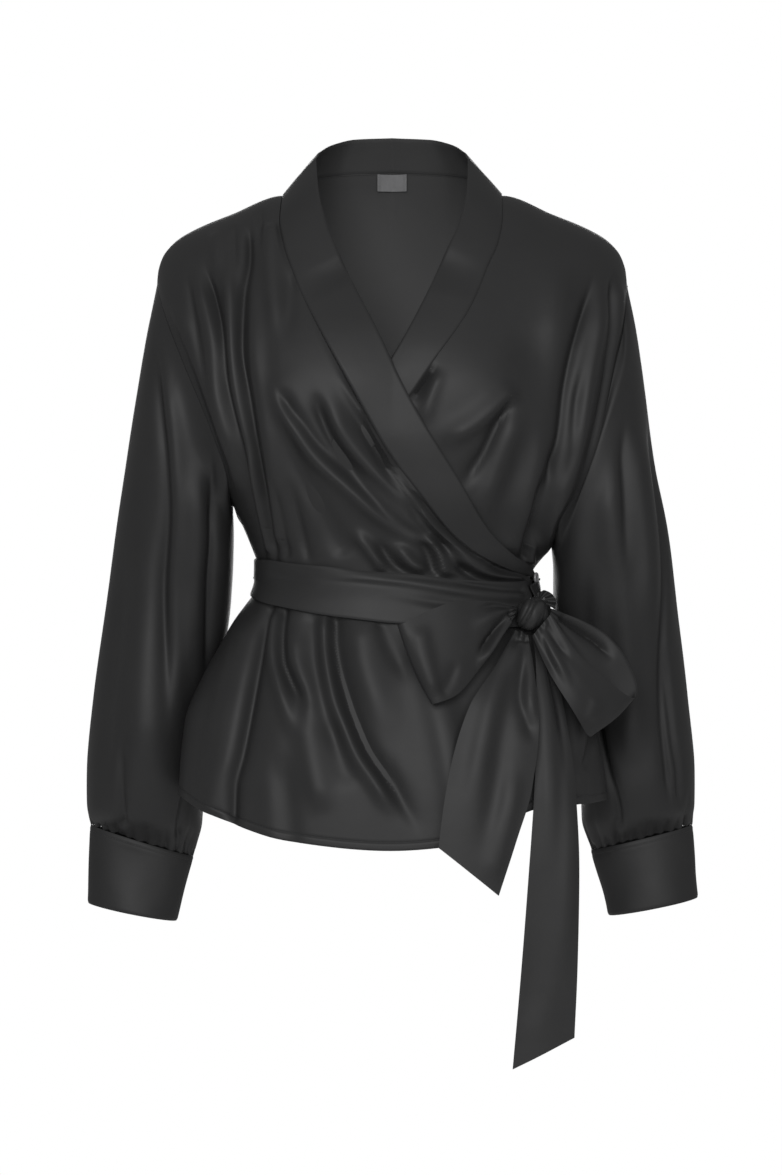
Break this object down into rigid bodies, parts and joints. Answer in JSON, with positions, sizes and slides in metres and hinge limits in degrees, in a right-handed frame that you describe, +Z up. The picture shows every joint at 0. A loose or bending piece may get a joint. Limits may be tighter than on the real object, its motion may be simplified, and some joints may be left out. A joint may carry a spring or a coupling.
{
  "type": "wrap top",
  "caption": "Hollow worn wrap top in satin with a folded neckband, sash tied in a bow at the waist and long gathered sleeves.",
  "frame": {"origin": "midway between the two points where the shoulder seams meet the neckband, where the wearer's shoulders hold the top up", "axes": "+Z up along the wearer's body, -Y out of the wearer's chest, +X to the wearer's left"},
  "size_m": [0.5829, 0.2725, 0.8669],
  "materials": {
    "satin": "dark grey satin with a soft sheen, matte on its reverse",
    "label_cloth": "pale woven label, blank",
    "button_resin": "grey polished resin"
  },
  "bodies": {
    "root": {"back": "satin", "front_upper": "satin", "front_lower": "satin", "sleeve_right": "satin", "sleeve_left": "satin", "cuff_right": "satin", "cuff_left": "satin", "neckband": "satin", "sash_waist": "satin", "sash_knot": "satin", "bow_loop_right": "satin", "bow_loop_left": "satin", "tail_short": "satin", "tail_long": "satin", "neck_label": "label_cloth", "side_button": "button_resin"}
  },
  "joints": []
}
